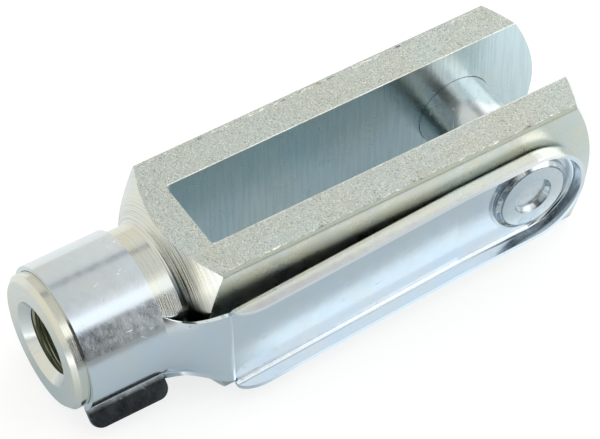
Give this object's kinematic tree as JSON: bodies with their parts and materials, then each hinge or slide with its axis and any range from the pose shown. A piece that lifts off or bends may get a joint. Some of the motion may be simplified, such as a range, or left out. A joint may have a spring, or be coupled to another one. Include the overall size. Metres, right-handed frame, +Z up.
{
  "type": "clevis rod end",
  "caption": "Steel fork rod end with a threaded neck and slotted square ears; a spring clip held on the neck carries the riveted clevis pin that closes the fork.",
  "frame": {"origin": "centre of the neck's end face, where the rod screws in", "axes": "+X from the neck to the ears, Y along the clevis pin with the clip's arm on the -Y side, +Z up out of the slot"},
  "size_m": [0.0715, 0.025, 0.02],
  "materials": {
    "fork_zinc": "machined steel, zinc plated with a thin greenish passivate, satin",
    "pin_zinc": "turned steel, bright zinc plated, semi-gloss",
    "clip_zinc": "spring steel sheet, bluish bright zinc, semi-gloss"
  },
  "bodies": {
    "fork_body": {"fork": "fork_zinc"},
    "clip_body": {"spring_clip": "clip_zinc", "clevis_pin": "pin_zinc"}
  },
  "joints": [
    {"name": "clip_swing", "type": "hinge", "parent": "fork_body", "child": "clip_body", "pos_m": [0.06, 0, 0], "axis": [0, 1, 0], "range_deg": [0, 338]}
  ]
}
